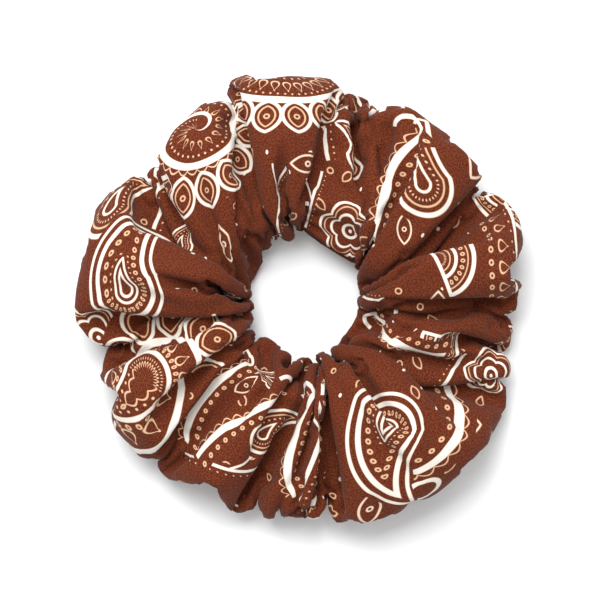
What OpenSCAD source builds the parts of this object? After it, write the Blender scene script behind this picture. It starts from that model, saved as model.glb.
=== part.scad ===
// Scrunchie: a tube of cloth gathered on a loop of flat elastic.
// The loop lies on its side, with its hair opening up the Z axis and its underside on z = 0.
// The tube is drawn in a near and a far half, which slide apart along Y as the loop is stretched.

/* [Loop] */
// Diameter of the circle that the widest puffs reach
loop_d = 113; // [100:1:150]
// Diameter of the opening that the hair goes through
hair_d = 30; // [24:1:40]
// Height of the puffs above the table
loop_h = 26.5; // [22:0.5:34]
// How far the outline dips between two puffs
crease_in = 7.5; // [3:0.5:12]
// How far the top dips between two puffs
crease_down = 5; // [2:0.5:7]

/* [Cloth] */
// Thickness of the gathered cloth
cloth_t = 0.8; // [0.5:0.1:1.2]
// Width of the long seam's allowance inside the tube
allowance_w = 5; // [3:0.5:6]
// Width of the closing seam's allowance, which is pinched narrower round the elastic
closing_w = 2.5; // [2:0.25:3]

/* [Elastic] */
// Diameter of the elastic loop, to the middle of its strip
elastic_d = 48; // [44:1:52]
// Width of the elastic strip
elastic_w = 6; // [4:0.5:8]
// Thickness of the elastic strip
elastic_t = 1.1; // [0.8:0.1:1.5]
// Length over which the two ends of the strip lie on each other
lap_l = 12; // [9:0.5:15]

/* [Thread] */
// Diameter of the sewing thread
thread_d = 0.4; // [0.3:0.05:0.5]
// Number of stitches round the whole long seam
long_stitches = 90; // [60:2:120]
// Number of stitches round the closing seam
closing_stitches = 30; // [20:1:36]
// Number of zigzag stitches that hold the elastic's ends
lap_stitches = 9; // [5:1:11]

/* [Hidden] */

// Angles of the creases between the puffs, from +X and anticlockwise from above.
creases = [-23, -5, 32, 71, 80, 110, 143, 194, 229, 257, 276, 337];
// Angle of the closing seam, which lies in one of the creases.
closing_a = 276;
// Angle of the middle of the elastic's lap.
lap_a = 300;
// A puff this wide, in degrees, stands out fully.
full_puff_a = 20;

gap = 0.3;            // between the two halves of the tube
play = 0.03;          // between thread and cloth or elastic
flat_cut = 1.2;       // how much of the round underside the table flattens
bore_cut = 2;         // how much of the round inner side the opening flattens
ring_step = 4;        // degrees between two rings of the tube's surface
fold_a = 1.5;         // how far a crease's folded cloth reaches to each side, in degrees
ring_sides = 20;      // points on one ring of the tube's surface
big = 4 * loop_d;

hair_r = hair_d / 2;
inner_r = hair_r - bore_cut;
middle_r = (inner_r + loop_d / 2) / 2;
inner_a = middle_r - inner_r;
middle_z = loop_h * 0.47;
under_b = middle_z + flat_cut;
crease_b = loop_h - middle_z - crease_down;
thread_r = thread_d / 2;
elastic_r = elastic_d / 2;
fin_t = 2 * cloth_t;
stitch_fill = 0.7;    // share of the stitch length that its thread covers

// Bulge of the puffs at angle a: 0 in a crease, 1 on a wide puff's crown.
function wrap(a) = a < creases[0] ? wrap(a + 360) : a >= creases[0] + 360 ? wrap(a - 360) : a;
function crease_below(a, i = 0) = a < creases[i + 1] ? i : crease_below(a, i + 1);
function puff_share(a, i) = (a - creases[i]) / (creases[i + 1] - creases[i]);
function puff_size(i) = min(1, (creases[i + 1] - creases[i]) / full_puff_a);
function bulge(a) =
    let (w = wrap(a), i = crease_below(w))
    puff_size(i) * (1 - pow(1 - sin(180 * puff_share(w, i)), 1.5));
// The least bulge within reach degrees of angle a. Cloth is folded thick beside a crease, so the
// inside of the tube keeps clear of it.
function low_bulge(a, reach) = min([for (k = [-2 : 2]) bulge(a + reach * k / 2)]);

// Half widths of the tube's section where its bulge is b.
function outer_a(b) = loop_d / 2 - middle_r - crease_in * (1 - b);
function upper_b(b) = crease_b + crease_down * b;
function top_b(b, t) =
    cos(t) > 0 ? upper_b(b) : crease_b + (upper_b(b) - crease_b) * pow(sin(t), 4);

// Point of a section with bulge b, as [radius, height], t degrees round from the outer edge and
// inset by depth.
function section_point(b, t, depth = 0) = [
    middle_r + cos(t) * ((cos(t) > 0 ? outer_a(b) : inner_a) - depth),
    middle_z + sin(t) * ((sin(t) > 0 ? top_b(b, t) : under_b) - depth)
];
// The same at angle a inside the tube, clear of the flat underside and the opening's wall.
function lining_point(a, t, depth) =
    let (p = section_point(low_bulge(a, fold_a), t, depth))
    [max(p[0], hair_r + depth), max(p[1], depth)];
// Radius of the tube's inside at its outer edge.
function lining_r(a, reach = fold_a) = middle_r + outer_a(low_bulge(a, reach)) - cloth_t;

// A point given as [radius, height] placed at angle a round the loop.
function on_loop(a, p) = [p[0] * cos(a), p[0] * sin(a), p[1]];

// Triangles that join rings of points into a closed tube. The last two points are the middles of
// its two flat ends.
function swept_faces(rings, sides) = concat(
    [for (j = [0 : sides - 1]) [rings * sides, (j + 1) % sides, j]],
    [for (i = [0 : rings - 2]) for (j = [0 : sides - 1])
        [i * sides + j, (i + 1) * sides + (j + 1) % sides, (i + 1) * sides + j]],
    [for (i = [0 : rings - 2]) for (j = [0 : sides - 1])
        [i * sides + j, i * sides + (j + 1) % sides, (i + 1) * sides + (j + 1) % sides]],
    [for (j = [0 : sides - 1])
        [rings * sides + 1, (rings - 1) * sides + j, (rings - 1) * sides + (j + 1) % sides]]
);

// The tube's rounded form from angle a0 to a1, inset by depth.
module tube_form(a0, a1, depth) {
    rings = round((a1 - a0) / ring_step) + 1;
    points = [for (i = [0 : rings - 1]) for (j = [0 : ring_sides - 1])
        let (a = a0 + (a1 - a0) * i / (rings - 1), b = depth > 0 ? low_bulge(a, fold_a) : bulge(a))
        on_loop(a, section_point(b, 360 * j / ring_sides, depth))];
    ends = [for (a = [a0, a1]) on_loop(a, [middle_r, middle_z])];
    polyhedron(concat(points, ends), swept_faces(rings, ring_sides), convexity = 8);
}

// The same, cut flat by the table and by the wall of the hair opening.
module trimmed_tube(a0, a1, depth) {
    difference() {
        tube_form(a0, a1, depth);
        translate([-big / 2, -big / 2, depth - big]) cube(big);
        translate([0, 0, -loop_h]) cylinder(h = 3 * loop_h, r = hair_r + depth, $fn = 96);
    }
}

// Folded seam allowance along the outer edge, inside the tube.
module long_allowance(a0, a1) {
    rings = round((a1 - a0) / ring_step) + 1;
    root = cloth_t / 2;
    points = [for (i = [0 : rings - 1])
        let (a = a0 + (a1 - a0) * i / (rings - 1), r = lining_r(a))
        for (p = [[r - allowance_w, -1], [r + root, -1], [r + root, 1], [r - allowance_w, 1]])
        on_loop(a, [p[0], middle_z + p[1] * fin_t / 2])];
    ends = [for (a = [a0, a1]) on_loop(a, [lining_r(a) - allowance_w / 2, middle_z])];
    polyhedron(concat(points, ends), swept_faces(rings, 4), convexity = 8);
}

// Folded seam allowance round the tube, where its two ends meet.
module closing_allowance() {
    edge = [for (j = [0 : 2 * ring_sides - 1])
        lining_point(closing_a, 180 * j / ring_sides, cloth_t / 2)];
    tip = [for (j = [0 : 2 * ring_sides - 1])
        lining_point(closing_a, 180 * j / ring_sides, cloth_t + closing_w)];
    rotate([90, 0, closing_a])
        linear_extrude(height = fin_t, center = true)
            difference() {
                polygon(edge);
                polygon(tip);
            }
}

// Half of the cloth tube between angles a0 and a1, hollow from end to end.
module cover_half(a0, a1, with_closing_seam) {
    side = a0 < 180 ? 1 : -1;
    color([0.42, 0.16, 0.09])
        difference() {
            union() {
                difference() {
                    trimmed_tube(a0, a1, 0);
                    trimmed_tube(a0 - 1.5 * ring_step, a1 + 1.5 * ring_step, cloth_t);
                }
                long_allowance(a0, a1);
                if (with_closing_seam) closing_allowance();
            }
            translate([-big / 2, side > 0 ? gap / 2 - big : -gap / 2, -1]) cube([big, big, big]);
        }
}

module cover_near() {
    cover_half(180, 360, true);
}

module cover_far() {
    cover_half(0, 180, false);
}

// A straight piece of thread between two points.
module thread(p, q) {
    d = q - p;
    translate(p)
        rotate([0, acos(d[2] / norm(d)), atan2(d[1], d[0])])
            cylinder(h = norm(d), r = thread_r, $fn = 16);
}

// Radius of the long seam's stitches at angle a.
function seam_r(a) = lining_r(a, 2 * fold_a) - 2 * cloth_t;

// Stitches on both faces of the long seam's allowance, between angles a0 and a1.
module long_seam(a0, a1) {
    pitch = 360 / long_stitches;
    lift = fin_t / 2 + thread_r + play;
    near_closing = atan((fin_t + 2 * thread_d) / lining_r(closing_a));
    color([0.33, 0.12, 0.07])
        for (k = [0 : floor((a1 - a0) / pitch) - 1], side = [-1, 1]) {
            start = a0 + pitch * (k + (1 - stitch_fill) / 2);
            end = start + pitch * stitch_fill;
            if (end < closing_a - near_closing || start > closing_a + near_closing)
                thread(on_loop(start, [seam_r(start), middle_z + side * lift]),
                       on_loop(end, [seam_r(end), middle_z + side * lift]));
        }
}

module long_seam_near() {
    long_seam(180, 360);
}

module long_seam_far() {
    long_seam(0, 180);
}

// Stitches on both faces of the closing seam's allowance, round the tube.
module closing_seam_thread() {
    pitch = 360 / closing_stitches;
    lift = fin_t / 2 + thread_r + play;
    depth = 2 * cloth_t;
    color([0.33, 0.12, 0.07])
        for (k = [1 : closing_stitches - 1], side = [-1, 1]) {
            from = lining_point(closing_a, pitch * (k - stitch_fill / 2), depth);
            to = lining_point(closing_a, pitch * (k + stitch_fill / 2), depth);
            rotate([0, 0, closing_a])
                thread([from[0], side * lift, from[1]], [to[0], side * lift, to[1]]);
        }
}

// Height and angle of the lap's needle holes, in a zigzag.
lap_angle = lap_l / elastic_r * 180 / PI;
stitch_w = elastic_w * 0.6;
function lap_hole(k) = [
    lap_a + lap_angle * 0.8 * (k / (lap_stitches - 1) - 0.5),
    middle_z + (k % 2 == 0 ? -1 : 1) * stitch_w / 2
];
lap_inner_r = elastic_r - elastic_t / 2;
lap_outer_r = elastic_r + 1.5 * elastic_t;

// One needle hole or the thread in it, straight through both layers of the lap.
module through_lap(k, r, more) {
    hole = lap_hole(k);
    translate(on_loop(hole[0], [lap_inner_r - more, hole[1]]))
        rotate([0, 90, hole[0]])
            cylinder(h = lap_outer_r - lap_inner_r + 2 * more, r = r, $fn = 16);
}

module strip_arc(from_a, angle, inner) {
    rotate([0, 0, from_a])
        rotate_extrude(angle = angle, $fn = 180)
            translate([inner, middle_z - elastic_w / 2]) square([elastic_t, elastic_w]);
}

// The elastic strip: a closed loop whose last stretch lies on its first.
module elastic_band() {
    color([0.78, 0.76, 0.72])
        difference() {
            union() {
                strip_arc(0, 360, lap_inner_r);
                strip_arc(lap_a - lap_angle / 2, lap_angle, lap_inner_r + elastic_t);
            }
            for (k = [0 : lap_stitches - 1]) through_lap(k, thread_r + play, 1);
        }
}

// Zigzag thread through the lap, along both of its faces.
module elastic_lap_thread() {
    lift = thread_r + 2 * play;
    inside = lap_inner_r * cos(lap_angle * 0.4 / (lap_stitches - 1)) - lift - play;
    color([0.85, 0.83, 0.78])
        union() {
            for (k = [0 : lap_stitches - 1])
                through_lap(k, thread_r, lift + thread_r);
            for (k = [0 : lap_stitches - 2]) {
                from = lap_hole(k);
                to = lap_hole(k + 1);
                if (k % 2 == 0)
                    thread(on_loop(from[0], [lap_outer_r + 2 * lift, from[1]]),
                           on_loop(to[0], [lap_outer_r + 2 * lift, to[1]]));
                else
                    thread(on_loop(from[0], [inside, from[1]]), on_loop(to[0], [inside, to[1]]));
            }
        }
}

cover_near();
cover_far();
long_seam_near();
long_seam_far();
closing_seam_thread();
elastic_band();
elastic_lap_thread();
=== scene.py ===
"""Looks of a gathered-cloth scrunchie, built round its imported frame.

The cover is one strip of cloth, sewn into a closed tube. A cloth simulation gathers it from its
full length onto the loop of elastic, and its print is drawn by shader nodes on the strip's own
lengthwise and crosswise millimetres.
"""

from __future__ import annotations

import logging
import math
from dataclasses import dataclass
from enum import Enum
from typing import Callable, Sequence, Union

import bpy
from mathutils import Matrix, Vector

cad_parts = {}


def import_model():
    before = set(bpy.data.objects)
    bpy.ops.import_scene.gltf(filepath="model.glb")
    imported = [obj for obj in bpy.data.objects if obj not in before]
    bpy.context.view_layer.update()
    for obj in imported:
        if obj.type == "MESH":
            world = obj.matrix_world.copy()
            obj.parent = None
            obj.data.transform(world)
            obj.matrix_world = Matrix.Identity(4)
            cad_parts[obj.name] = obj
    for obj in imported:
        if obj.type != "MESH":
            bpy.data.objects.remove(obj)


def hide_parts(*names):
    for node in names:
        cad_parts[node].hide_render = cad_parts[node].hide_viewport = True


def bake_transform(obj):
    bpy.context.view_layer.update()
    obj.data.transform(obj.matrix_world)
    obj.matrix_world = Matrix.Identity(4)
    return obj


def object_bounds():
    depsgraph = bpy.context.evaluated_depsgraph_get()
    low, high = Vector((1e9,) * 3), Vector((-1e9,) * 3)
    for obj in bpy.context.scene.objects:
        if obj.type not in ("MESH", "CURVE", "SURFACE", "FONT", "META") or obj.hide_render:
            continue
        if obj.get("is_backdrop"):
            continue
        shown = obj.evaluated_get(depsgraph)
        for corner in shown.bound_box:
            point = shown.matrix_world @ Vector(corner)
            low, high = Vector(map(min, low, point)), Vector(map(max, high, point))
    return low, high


LOG = logging.getLogger("scrunchie")

MM = 0.001
SIM_SCALE = 0.01  # one millimetre in the simulation, which works best near a metre in size
STRIP_LENGTH = 440.0  # of the finished tube, in millimetres, as are the next four
STRIP_ROUND = 103.0
LOOP_HEIGHT = 12.5
ELASTIC_RADIUS = 24.0
DRAWN_UP = 1.15  # how much longer the figures are along the strip, which gathering draws up
FINE_LINE = 0.17  # half the width of the print's finest lines, in millimetres
CREAM_INK = 0.75  # as much ink as prints cream; more turns it white
COLLIDER_SKIN = 0.3  # how far from a collider's surface the cloth stays, in millimetres

Colour = tuple[float, float, float, float]


class Body(str, Enum):
    """Bodies of the frame."""

    SEAM_HALF = "seam_half"
    FAR_HALF = "far_half"


@dataclass(frozen=True)
class Crease:
    """A pinched valley between two puffs, with sizes in millimetres and angles in degrees.

    Args:
        outer: its angle at the loop's outer edge, anticlockwise from +X.
        inner: its angle at the hair opening.
        notch: how far from the loop's centre its outer end is.
        top: its height.
        spare: how much more of the strip the next puff takes than its width, as an angle.
    """

    outer: float
    inner: float
    notch: float
    top: float = 13.0
    spare: float = 18.0


CREASES: tuple[Crease, ...] = (
    Crease(276, 282, notch=49),
    Crease(337, 298, notch=51),
    Crease(355, 356, notch=47),
    Crease(392, 360, notch=48),
    Crease(431, 394, notch=47),
    Crease(440, 453, notch=48.5),
    Crease(470, 466, notch=51),
    Crease(503, 542, notch=46.5),
    Crease(554, 545, notch=45),
    Crease(589, 582, notch=51.5),
    Crease(617, 637, notch=51, spare=7),
    Crease(623, 639, notch=52, top=19, spare=7),
    Crease(630, 640.5, notch=51.5, top=19, spare=7),
    Crease(636, 642, notch=49),
)


@dataclass(frozen=True)
class GatherSettings:
    """How the strip is drawn out and guided, with sizes in millimetres.

    Args:
        columns: points along the strip.
        rows: points round it.
        gather_frames: frames in which the elastic draws in.
        frames: frames in all, the last of which let the cloth settle.
        full_puff_degrees: a puff this wide stands out fully.
        fullness: how squarely a puff rises beside its creases; less is squarer.
        lean: how late round the section a crease turns from its outer angle to its inner one.
        hole_radius: of the hair opening.
        hole_oval: how much further out its edge is along Y, and further in along X.
        crown_radius: of the puffs' outer edge.
        crown_top: height of the puffs.
        underside: height of the gathered form's lowest points.
        puff_hold: how firmly a puff's crown is led to the gathered form.
        held_facing: the direction of the section that is led most, in degrees up from outward.
        least_hold: a weaker lead is left out.
        over_elastic: how much higher a crease runs where it crosses the elastic.
        over_width: how far to each side of the elastic that reaches.
        former_radius: of the post that keeps the hair opening clear.
        cord_radius: of the round cord that stands for the elastic.
        cord_stretch: how much taller than wide that cord becomes.
    """

    columns: int = 200
    rows: int = 46
    gather_frames: int = 42
    frames: int = 60
    full_puff_degrees: float = 30.0
    fullness: float = 0.7
    lean: float = 1.2
    hole_radius: float = 16.5
    hole_oval: float = 1.5
    crown_radius: float = 59.5
    crown_top: float = 26.5
    underside: float = 1.5
    puff_hold: float = 0.3
    held_facing: float = 50.0
    least_hold: float = 0.005
    over_elastic: float = 4.5
    over_width: float = 6.0
    former_radius: float = 12.5
    cord_radius: float = 2.2
    cord_stretch: float = 1.7


class GatheredTube:
    """The cover: a closed tube of cloth that is simulated as it is gathered."""

    def __init__(self, settings: GatherSettings) -> None:
        """Shares the strip's length out among the puffs.

        Args:
            settings: how the strip is drawn out and guided.
        """
        self.settings = settings
        widths = [b.outer - a.outer for a, b in zip(CREASES, CREASES[1:])]
        spare = [w + crease.spare for w, crease in zip(widths, CREASES)]
        total = sum(spare)
        self.shares = [sum(spare[:i]) / total for i in range(len(spare) + 1)]
        self.widths = widths
        self.crease_columns = [round(s * settings.columns) for s in self.shares]

    def build(self) -> bpy.types.Object:
        """Makes the tube at its full length, ready to be gathered.

        Returns:
            The tube, at the simulation's scale.
        """
        cfg = self.settings
        bpy.ops.object.select_all(action="DESELECT")
        bpy.ops.mesh.primitive_torus_add(
            major_segments=cfg.columns,
            minor_segments=cfg.rows,
            major_radius=STRIP_LENGTH * SIM_SCALE / math.tau,
            minor_radius=STRIP_ROUND * SIM_SCALE / math.tau,
            location=(0, 0, (STRIP_ROUND / math.tau + 1) * SIM_SCALE),
            rotation=(0, 0, math.radians(CREASES[0].outer)),
        )
        cover = bpy.context.active_object
        cover.name = "cover"
        bpy.ops.object.transform_apply(location=True, rotation=True, scale=True)
        self._write_cloth_map(cover)
        self._add_gathered_key(cover)
        self._hold_creases(cover)
        return cover

    def _write_cloth_map(self, cover: bpy.types.Object) -> None:
        """Gives every corner its place on the strip, from 0 to 1 along it and round it.

        Args:
            cover: the tube, whose points run round it and then along it.
        """
        cfg = self.settings
        mesh = cover.data
        while mesh.uv_layers:
            mesh.uv_layers.remove(mesh.uv_layers[0])
        layer = mesh.uv_layers.new(name="Cloth")
        for face in mesh.polygons:
            columns = [mesh.loops[i].vertex_index // cfg.rows for i in face.loop_indices]
            rows = [mesh.loops[i].vertex_index % cfg.rows for i in face.loop_indices]
            for i, column, row in zip(face.loop_indices, columns, rows):
                if column == 0 and max(columns) > 1:
                    column = cfg.columns
                if row == 0 and max(rows) > 1:
                    row = cfg.rows
                layer.data[i].uv = (column / cfg.columns, row / cfg.rows)

    def _puff_at(self, column: int) -> tuple[int, float]:
        """Finds a column's puff.

        Args:
            column: its number along the strip.

        Returns:
            Which puff it is in, and how far across that puff from 0 to 1.
        """
        for i in range(len(self.widths)):
            first, last = self.crease_columns[i], self.crease_columns[i + 1]
            if first <= column < last:
                return i, (column - first) / (last - first)
        return 0, 0.0

    def _gathered_place(self, column: int, row: int) -> tuple[Vector, float]:
        """Finds where a point of the strip should end.

        Args:
            column: its number along the strip.
            row: its number round the strip.

        Returns:
            Its gathered place, and how full its puff is there from 0 to 1.
        """
        cfg = self.settings
        puff, share = self._puff_at(column)
        turn = math.tau * row / cfg.rows
        inward = ((1 - math.cos(turn)) / 2) ** cfg.lean
        a, b = CREASES[puff], CREASES[puff + 1]
        outer = a.outer + (b.outer - a.outer) * share
        inner = a.inner + (b.inner - a.inner) * share
        angle = math.radians(outer + (inner - outer) * inward)
        full = math.sin(math.pi * share) ** cfg.fullness
        full *= min(1.0, self.widths[puff] / cfg.full_puff_degrees)
        near = cfg.hole_radius - cfg.hole_oval * math.cos(2 * angle)
        notch = a.notch + (b.notch - a.notch) * share
        valley = a.top + (b.top - a.top) * share
        far = notch + (cfg.crown_radius - notch) * full
        low, high = cfg.underside, valley + (cfg.crown_top - valley) * full
        radius = (near + far) / 2 + (far - near) / 2 * math.cos(turn)
        height = (low + high) / 2 + (high - low) / 2 * math.sin(turn)
        near_elastic = math.exp(-(((radius - ELASTIC_RADIUS) / cfg.over_width) ** 2))
        over = near_elastic * max(0.0, math.sin(turn))
        height += cfg.over_elastic * (1 - full) * over
        place = Vector((radius * math.cos(angle), radius * math.sin(angle), height))
        return place * SIM_SCALE, full

    def _add_gathered_key(self, cover: bpy.types.Object) -> None:
        """Adds the gathered form as a shape key, which leads the held creases inward.

        Args:
            cover: the tube at its full length.
        """
        cfg = self.settings
        cover.shape_key_add(name="Full length")
        key = cover.shape_key_add(name="Gathered")
        for i, point in enumerate(key.data):
            point.co = self._gathered_place(i // cfg.rows, i % cfg.rows)[0]
        key.value = 0
        key.keyframe_insert("value", frame=1)
        key.value = 1
        key.keyframe_insert("value", frame=cfg.gather_frames)

    def _hold_creases(self, cover: bpy.types.Object) -> None:
        """Fixes the creases to the gathered form, and guides the puffs' crowns loosely.

        Args:
            cover: the tube, whose held points get a weight.
        """
        cfg = self.settings
        group = cover.vertex_groups.new(name="held")
        for i in range(len(cover.data.vertices)):
            column, row = divmod(i, cfg.rows)
            if column in self.crease_columns:
                group.add([i], 1.0, "REPLACE")
                continue
            full = self._gathered_place(column, row)[1]
            facing = math.cos(math.tau * row / cfg.rows - math.radians(cfg.held_facing))
            weight = cfg.puff_hold * full * max(0.0, facing)
            if weight > cfg.least_hold:
                group.add([i], weight, "REPLACE")

    def simulate(self, cover: bpy.types.Object) -> None:
        """Runs the cloth simulation and keeps its last frame.

        Args:
            cover: the tube at its full length, with its shape keys and weights.
        """
        cfg = self.settings
        floor = self._collider_floor()
        former = self._collider_former()
        elastic = self._collider_elastic()
        modifier = cover.modifiers.new("Cloth", "CLOTH")
        cloth = modifier.settings
        cloth.quality = 6
        cloth.mass = 0.3
        cloth.air_damping = 1.0
        cloth.tension_stiffness = cloth.compression_stiffness = 15.0
        cloth.shear_stiffness = 5.0
        cloth.bending_model = "ANGULAR"
        cloth.bending_stiffness = 5.0
        cloth.tension_damping = cloth.compression_damping = cloth.shear_damping = 5.0
        cloth.bending_damping = 0.5
        cloth.vertex_group_mass = "held"
        cloth.pin_stiffness = 1.0
        cloth.rest_shape_key = cover.data.shape_keys.key_blocks["Full length"]
        cloth.use_pressure = True
        cloth.uniform_pressure_force = 1.8
        cloth.effector_weights.gravity = 0.3
        touch = modifier.collision_settings
        touch.collision_quality = 3
        touch.distance_min = 0.6 * SIM_SCALE
        touch.use_self_collision = True
        touch.self_distance_min = 0.8 * SIM_SCALE
        touch.self_friction = 1.0
        modifier.point_cache.frame_start = 1
        modifier.point_cache.frame_end = cfg.frames
        scene = bpy.context.scene
        scene.frame_end = max(scene.frame_end, cfg.frames)
        for frame in range(1, cfg.frames + 1):
            scene.frame_set(frame)
        self.keep(cover)
        for collider in (floor, former, elastic):
            bpy.data.objects.remove(collider)
        scene.frame_set(1)

    def keep(self, cover: bpy.types.Object) -> None:
        """Turns the cover, as it now stands, into a plain mesh.

        Args:
            cover: the tube with its modifier and shape keys.
        """
        bpy.ops.object.select_all(action="DESELECT")
        cover.select_set(True)
        bpy.context.view_layer.objects.active = cover
        bpy.ops.object.convert(target="MESH")

    def _collider_floor(self) -> bpy.types.Object:
        """Makes the table that the cloth comes to rest on.

        Returns:
            The collider.
        """
        bpy.ops.mesh.primitive_plane_add(size=6)
        floor = bpy.context.active_object
        floor.modifiers.new("Collision", "COLLISION")
        floor.collision.thickness_outer = COLLIDER_SKIN * SIM_SCALE
        floor.collision.cloth_friction = 5
        return floor

    def _collider_former(self) -> bpy.types.Object:
        """Makes the post that keeps the hair opening clear.

        Returns:
            The collider.
        """
        bpy.ops.mesh.primitive_cylinder_add(
            vertices=48,
            radius=self.settings.former_radius * SIM_SCALE,
            depth=1.5,
            location=(0, 0, 0.5),
        )
        former = bpy.context.active_object
        former.modifiers.new("Collision", "COLLISION")
        former.collision.thickness_outer = COLLIDER_SKIN * SIM_SCALE
        return former

    def _collider_elastic(self) -> bpy.types.Object:
        """Makes the elastic, which draws in from the full length with the creases.

        Returns:
            The collider.
        """
        start = STRIP_LENGTH / math.tau * SIM_SCALE
        bpy.ops.mesh.primitive_torus_add(
            major_segments=96,
            minor_segments=8,
            major_radius=start,
            minor_radius=self.settings.cord_radius * SIM_SCALE,
            location=(0, 0, LOOP_HEIGHT * SIM_SCALE),
        )
        elastic = bpy.context.active_object
        bpy.ops.object.transform_apply(location=True)
        elastic.shape_key_add(name="Long")
        key = elastic.shape_key_add(name="Short")
        middle = LOOP_HEIGHT * SIM_SCALE
        for point in key.data:
            flat = Vector((point.co.x, point.co.y))
            flat = flat.normalized() * (flat.length - start + ELASTIC_RADIUS * SIM_SCALE)
            up = (point.co.z - middle) * self.settings.cord_stretch
            point.co = Vector((flat.x, flat.y, middle + up))
        key.value = 0
        key.keyframe_insert("value", frame=1)
        key.value = 1
        key.keyframe_insert("value", frame=self.settings.gather_frames)
        elastic.modifiers.new("Collision", "COLLISION")
        elastic.collision.thickness_outer = COLLIDER_SKIN * SIM_SCALE
        return elastic


Number = Union["Field", float]


class Field:
    """A shader socket that holds a number, with Python arithmetic for its sums."""

    def __init__(self, graph: "Graph", socket: bpy.types.NodeSocket) -> None:
        """Wraps a socket of a graph."""
        self.graph = graph
        self.socket = socket

    def _sum(self, operation: str, *values: Number, clamp: bool = False) -> "Field":
        """Adds one Math node."""
        inputs = dict(enumerate(values))
        return self.graph.field("ShaderNodeMath", inputs, operation=operation, use_clamp=clamp)

    def __add__(self, other: Number) -> "Field":
        """self + other."""
        return self._sum("ADD", self, other)

    def __radd__(self, other: Number) -> "Field":
        """other + self."""
        return self._sum("ADD", other, self)

    def __sub__(self, other: Number) -> "Field":
        """self - other."""
        return self._sum("SUBTRACT", self, other)

    def __rsub__(self, other: Number) -> "Field":
        """other - self."""
        return self._sum("SUBTRACT", other, self)

    def __mul__(self, other: Number) -> "Field":
        """self * other."""
        return self._sum("MULTIPLY", self, other)

    def __rmul__(self, other: Number) -> "Field":
        """other * self."""
        return self._sum("MULTIPLY", other, self)

    def __truediv__(self, other: Number) -> "Field":
        """self / other."""
        return self._sum("DIVIDE", self, other)

    def __neg__(self) -> "Field":
        """Self with its sign changed."""
        return self._sum("MULTIPLY", self, -1.0)

    def __abs__(self) -> "Field":
        """Self without its sign."""
        return self._sum("ABSOLUTE", self)

    def __pow__(self, other: Number) -> "Field":
        """self to the power of other."""
        return self._sum("POWER", self, other)

    def of(self, operation: str, *others: Number) -> "Field":
        """Applies any one Math operation."""
        return self._sum(operation, self, *others)

    def at_least(self, other: Number) -> "Field":
        """The larger of the two."""
        return self._sum("MAXIMUM", self, other)

    def at_most(self, other: Number) -> "Field":
        """The smaller of the two."""
        return self._sum("MINIMUM", self, other)

    def cover(self, softness: float = 0.16) -> "Field":
        """1 where this distance is negative and 0 where it is positive, with a soft edge."""
        return self._sum("MULTIPLY_ADD", self, -1.0 / softness, 0.5, clamp=True)

    def times(self, factor: Number, plus: Number) -> "Field":
        """This times a factor, plus another number, in one node."""
        return self._sum("MULTIPLY_ADD", self, factor, plus)


class Graph:
    """A material's node tree."""

    def __init__(self, tree: bpy.types.NodeTree) -> None:
        """Wraps a node tree."""
        self.tree = tree

    def node(
        self,
        kind: str,
        inputs: dict[Union[int, str], object] | None = None,
        **settings: object,
    ) -> bpy.types.Node:
        """Adds a node.

        Args:
            kind: the node's type.
            inputs: values, fields or sockets by input name or number.
            **settings: the node's properties, which are set first.

        Returns:
            The new node.
        """
        node = self.tree.nodes.new(kind)
        for name, value in settings.items():
            setattr(node, name, value)
        for name, value in (inputs or {}).items():
            if isinstance(value, Field):
                self.tree.links.new(value.socket, node.inputs[name])
            elif isinstance(value, bpy.types.NodeSocket):
                self.tree.links.new(value, node.inputs[name])
            else:
                node.inputs[name].default_value = value
        return node

    def field(
        self,
        kind: str,
        inputs: dict[Union[int, str], object] | None = None,
        output: Union[int, str] = 0,
        **settings: object,
    ) -> Field:
        """Adds a node, as node() does, and returns one of its outputs as a number."""
        return Field(self, self.node(kind, inputs, **settings).outputs[output])

    def mix_colours(
        self, share: Number, first: object, second: object
    ) -> bpy.types.NodeSocket:
        """Mixes two colours.

        Args:
            share: how much of the second there is, from 0 to 1.
            first: a colour or a socket.
            second: a colour or a socket.

        Returns:
            The mixed colour's socket.
        """
        node = self.node(
            "ShaderNodeMix", {0: share, 6: first, 7: second}, data_type="RGBA"
        )
        return node.outputs[2]

    def mix_numbers(self, share: Number, first: Number, second: Number) -> Field:
        """Mixes two numbers."""
        return self.field("ShaderNodeMix", {0: share, 2: first, 3: second})


def start_material(name: str) -> tuple[bpy.types.Material, Graph, bpy.types.Node]:
    """Makes a material.

    Args:
        name: the material's name.

    Returns:
        The material, its graph and its shader node.
    """
    material = bpy.data.materials.new(name)
    material.use_nodes = True
    return material, Graph(material.node_tree), material.node_tree.nodes["Principled BSDF"]


def dress_shader(
    graph: Graph,
    shader: bpy.types.Node,
    colour: bpy.types.NodeSocket,
    relief: Field,
    roughness: float,
    strength: float,
    depth: float,
) -> None:
    """Gives a shader its colour and its relief.

    Args:
        graph: the material's graph.
        shader: its shader node.
        colour: the colour's socket.
        relief: the relief's height, about from 0 to 1.
        roughness: of the surface.
        strength: how strongly the relief shows.
        depth: the relief's depth in metres.
    """
    links = graph.tree.links
    links.new(colour, shader.inputs["Base Color"])
    shader.inputs["Roughness"].default_value = roughness
    bump = graph.node(
        "ShaderNodeBump", {"Strength": strength, "Distance": depth, "Height": relief}
    )
    links.new(bump.outputs[0], shader.inputs["Normal"])


def length_of(x: Field, y: Number) -> Field:
    """Length of the vector (x, y)."""
    return x.times(x, y * y).of("SQRT")


@dataclass(frozen=True)
class Spot:
    """A place on the strip, in millimetres.

    Args:
        x: across the motif, or along the strip.
        y: up the motif, or round the strip.
    """

    x: Field
    y: Field

    def from_middle(self) -> Field:
        """Distance from the middle."""
        return length_of(self.x, self.y)

    def bearing(self) -> Field:
        """Angle from +y towards +x, in radians."""
        return self.x.of("ARCTAN2", self.y)


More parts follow.
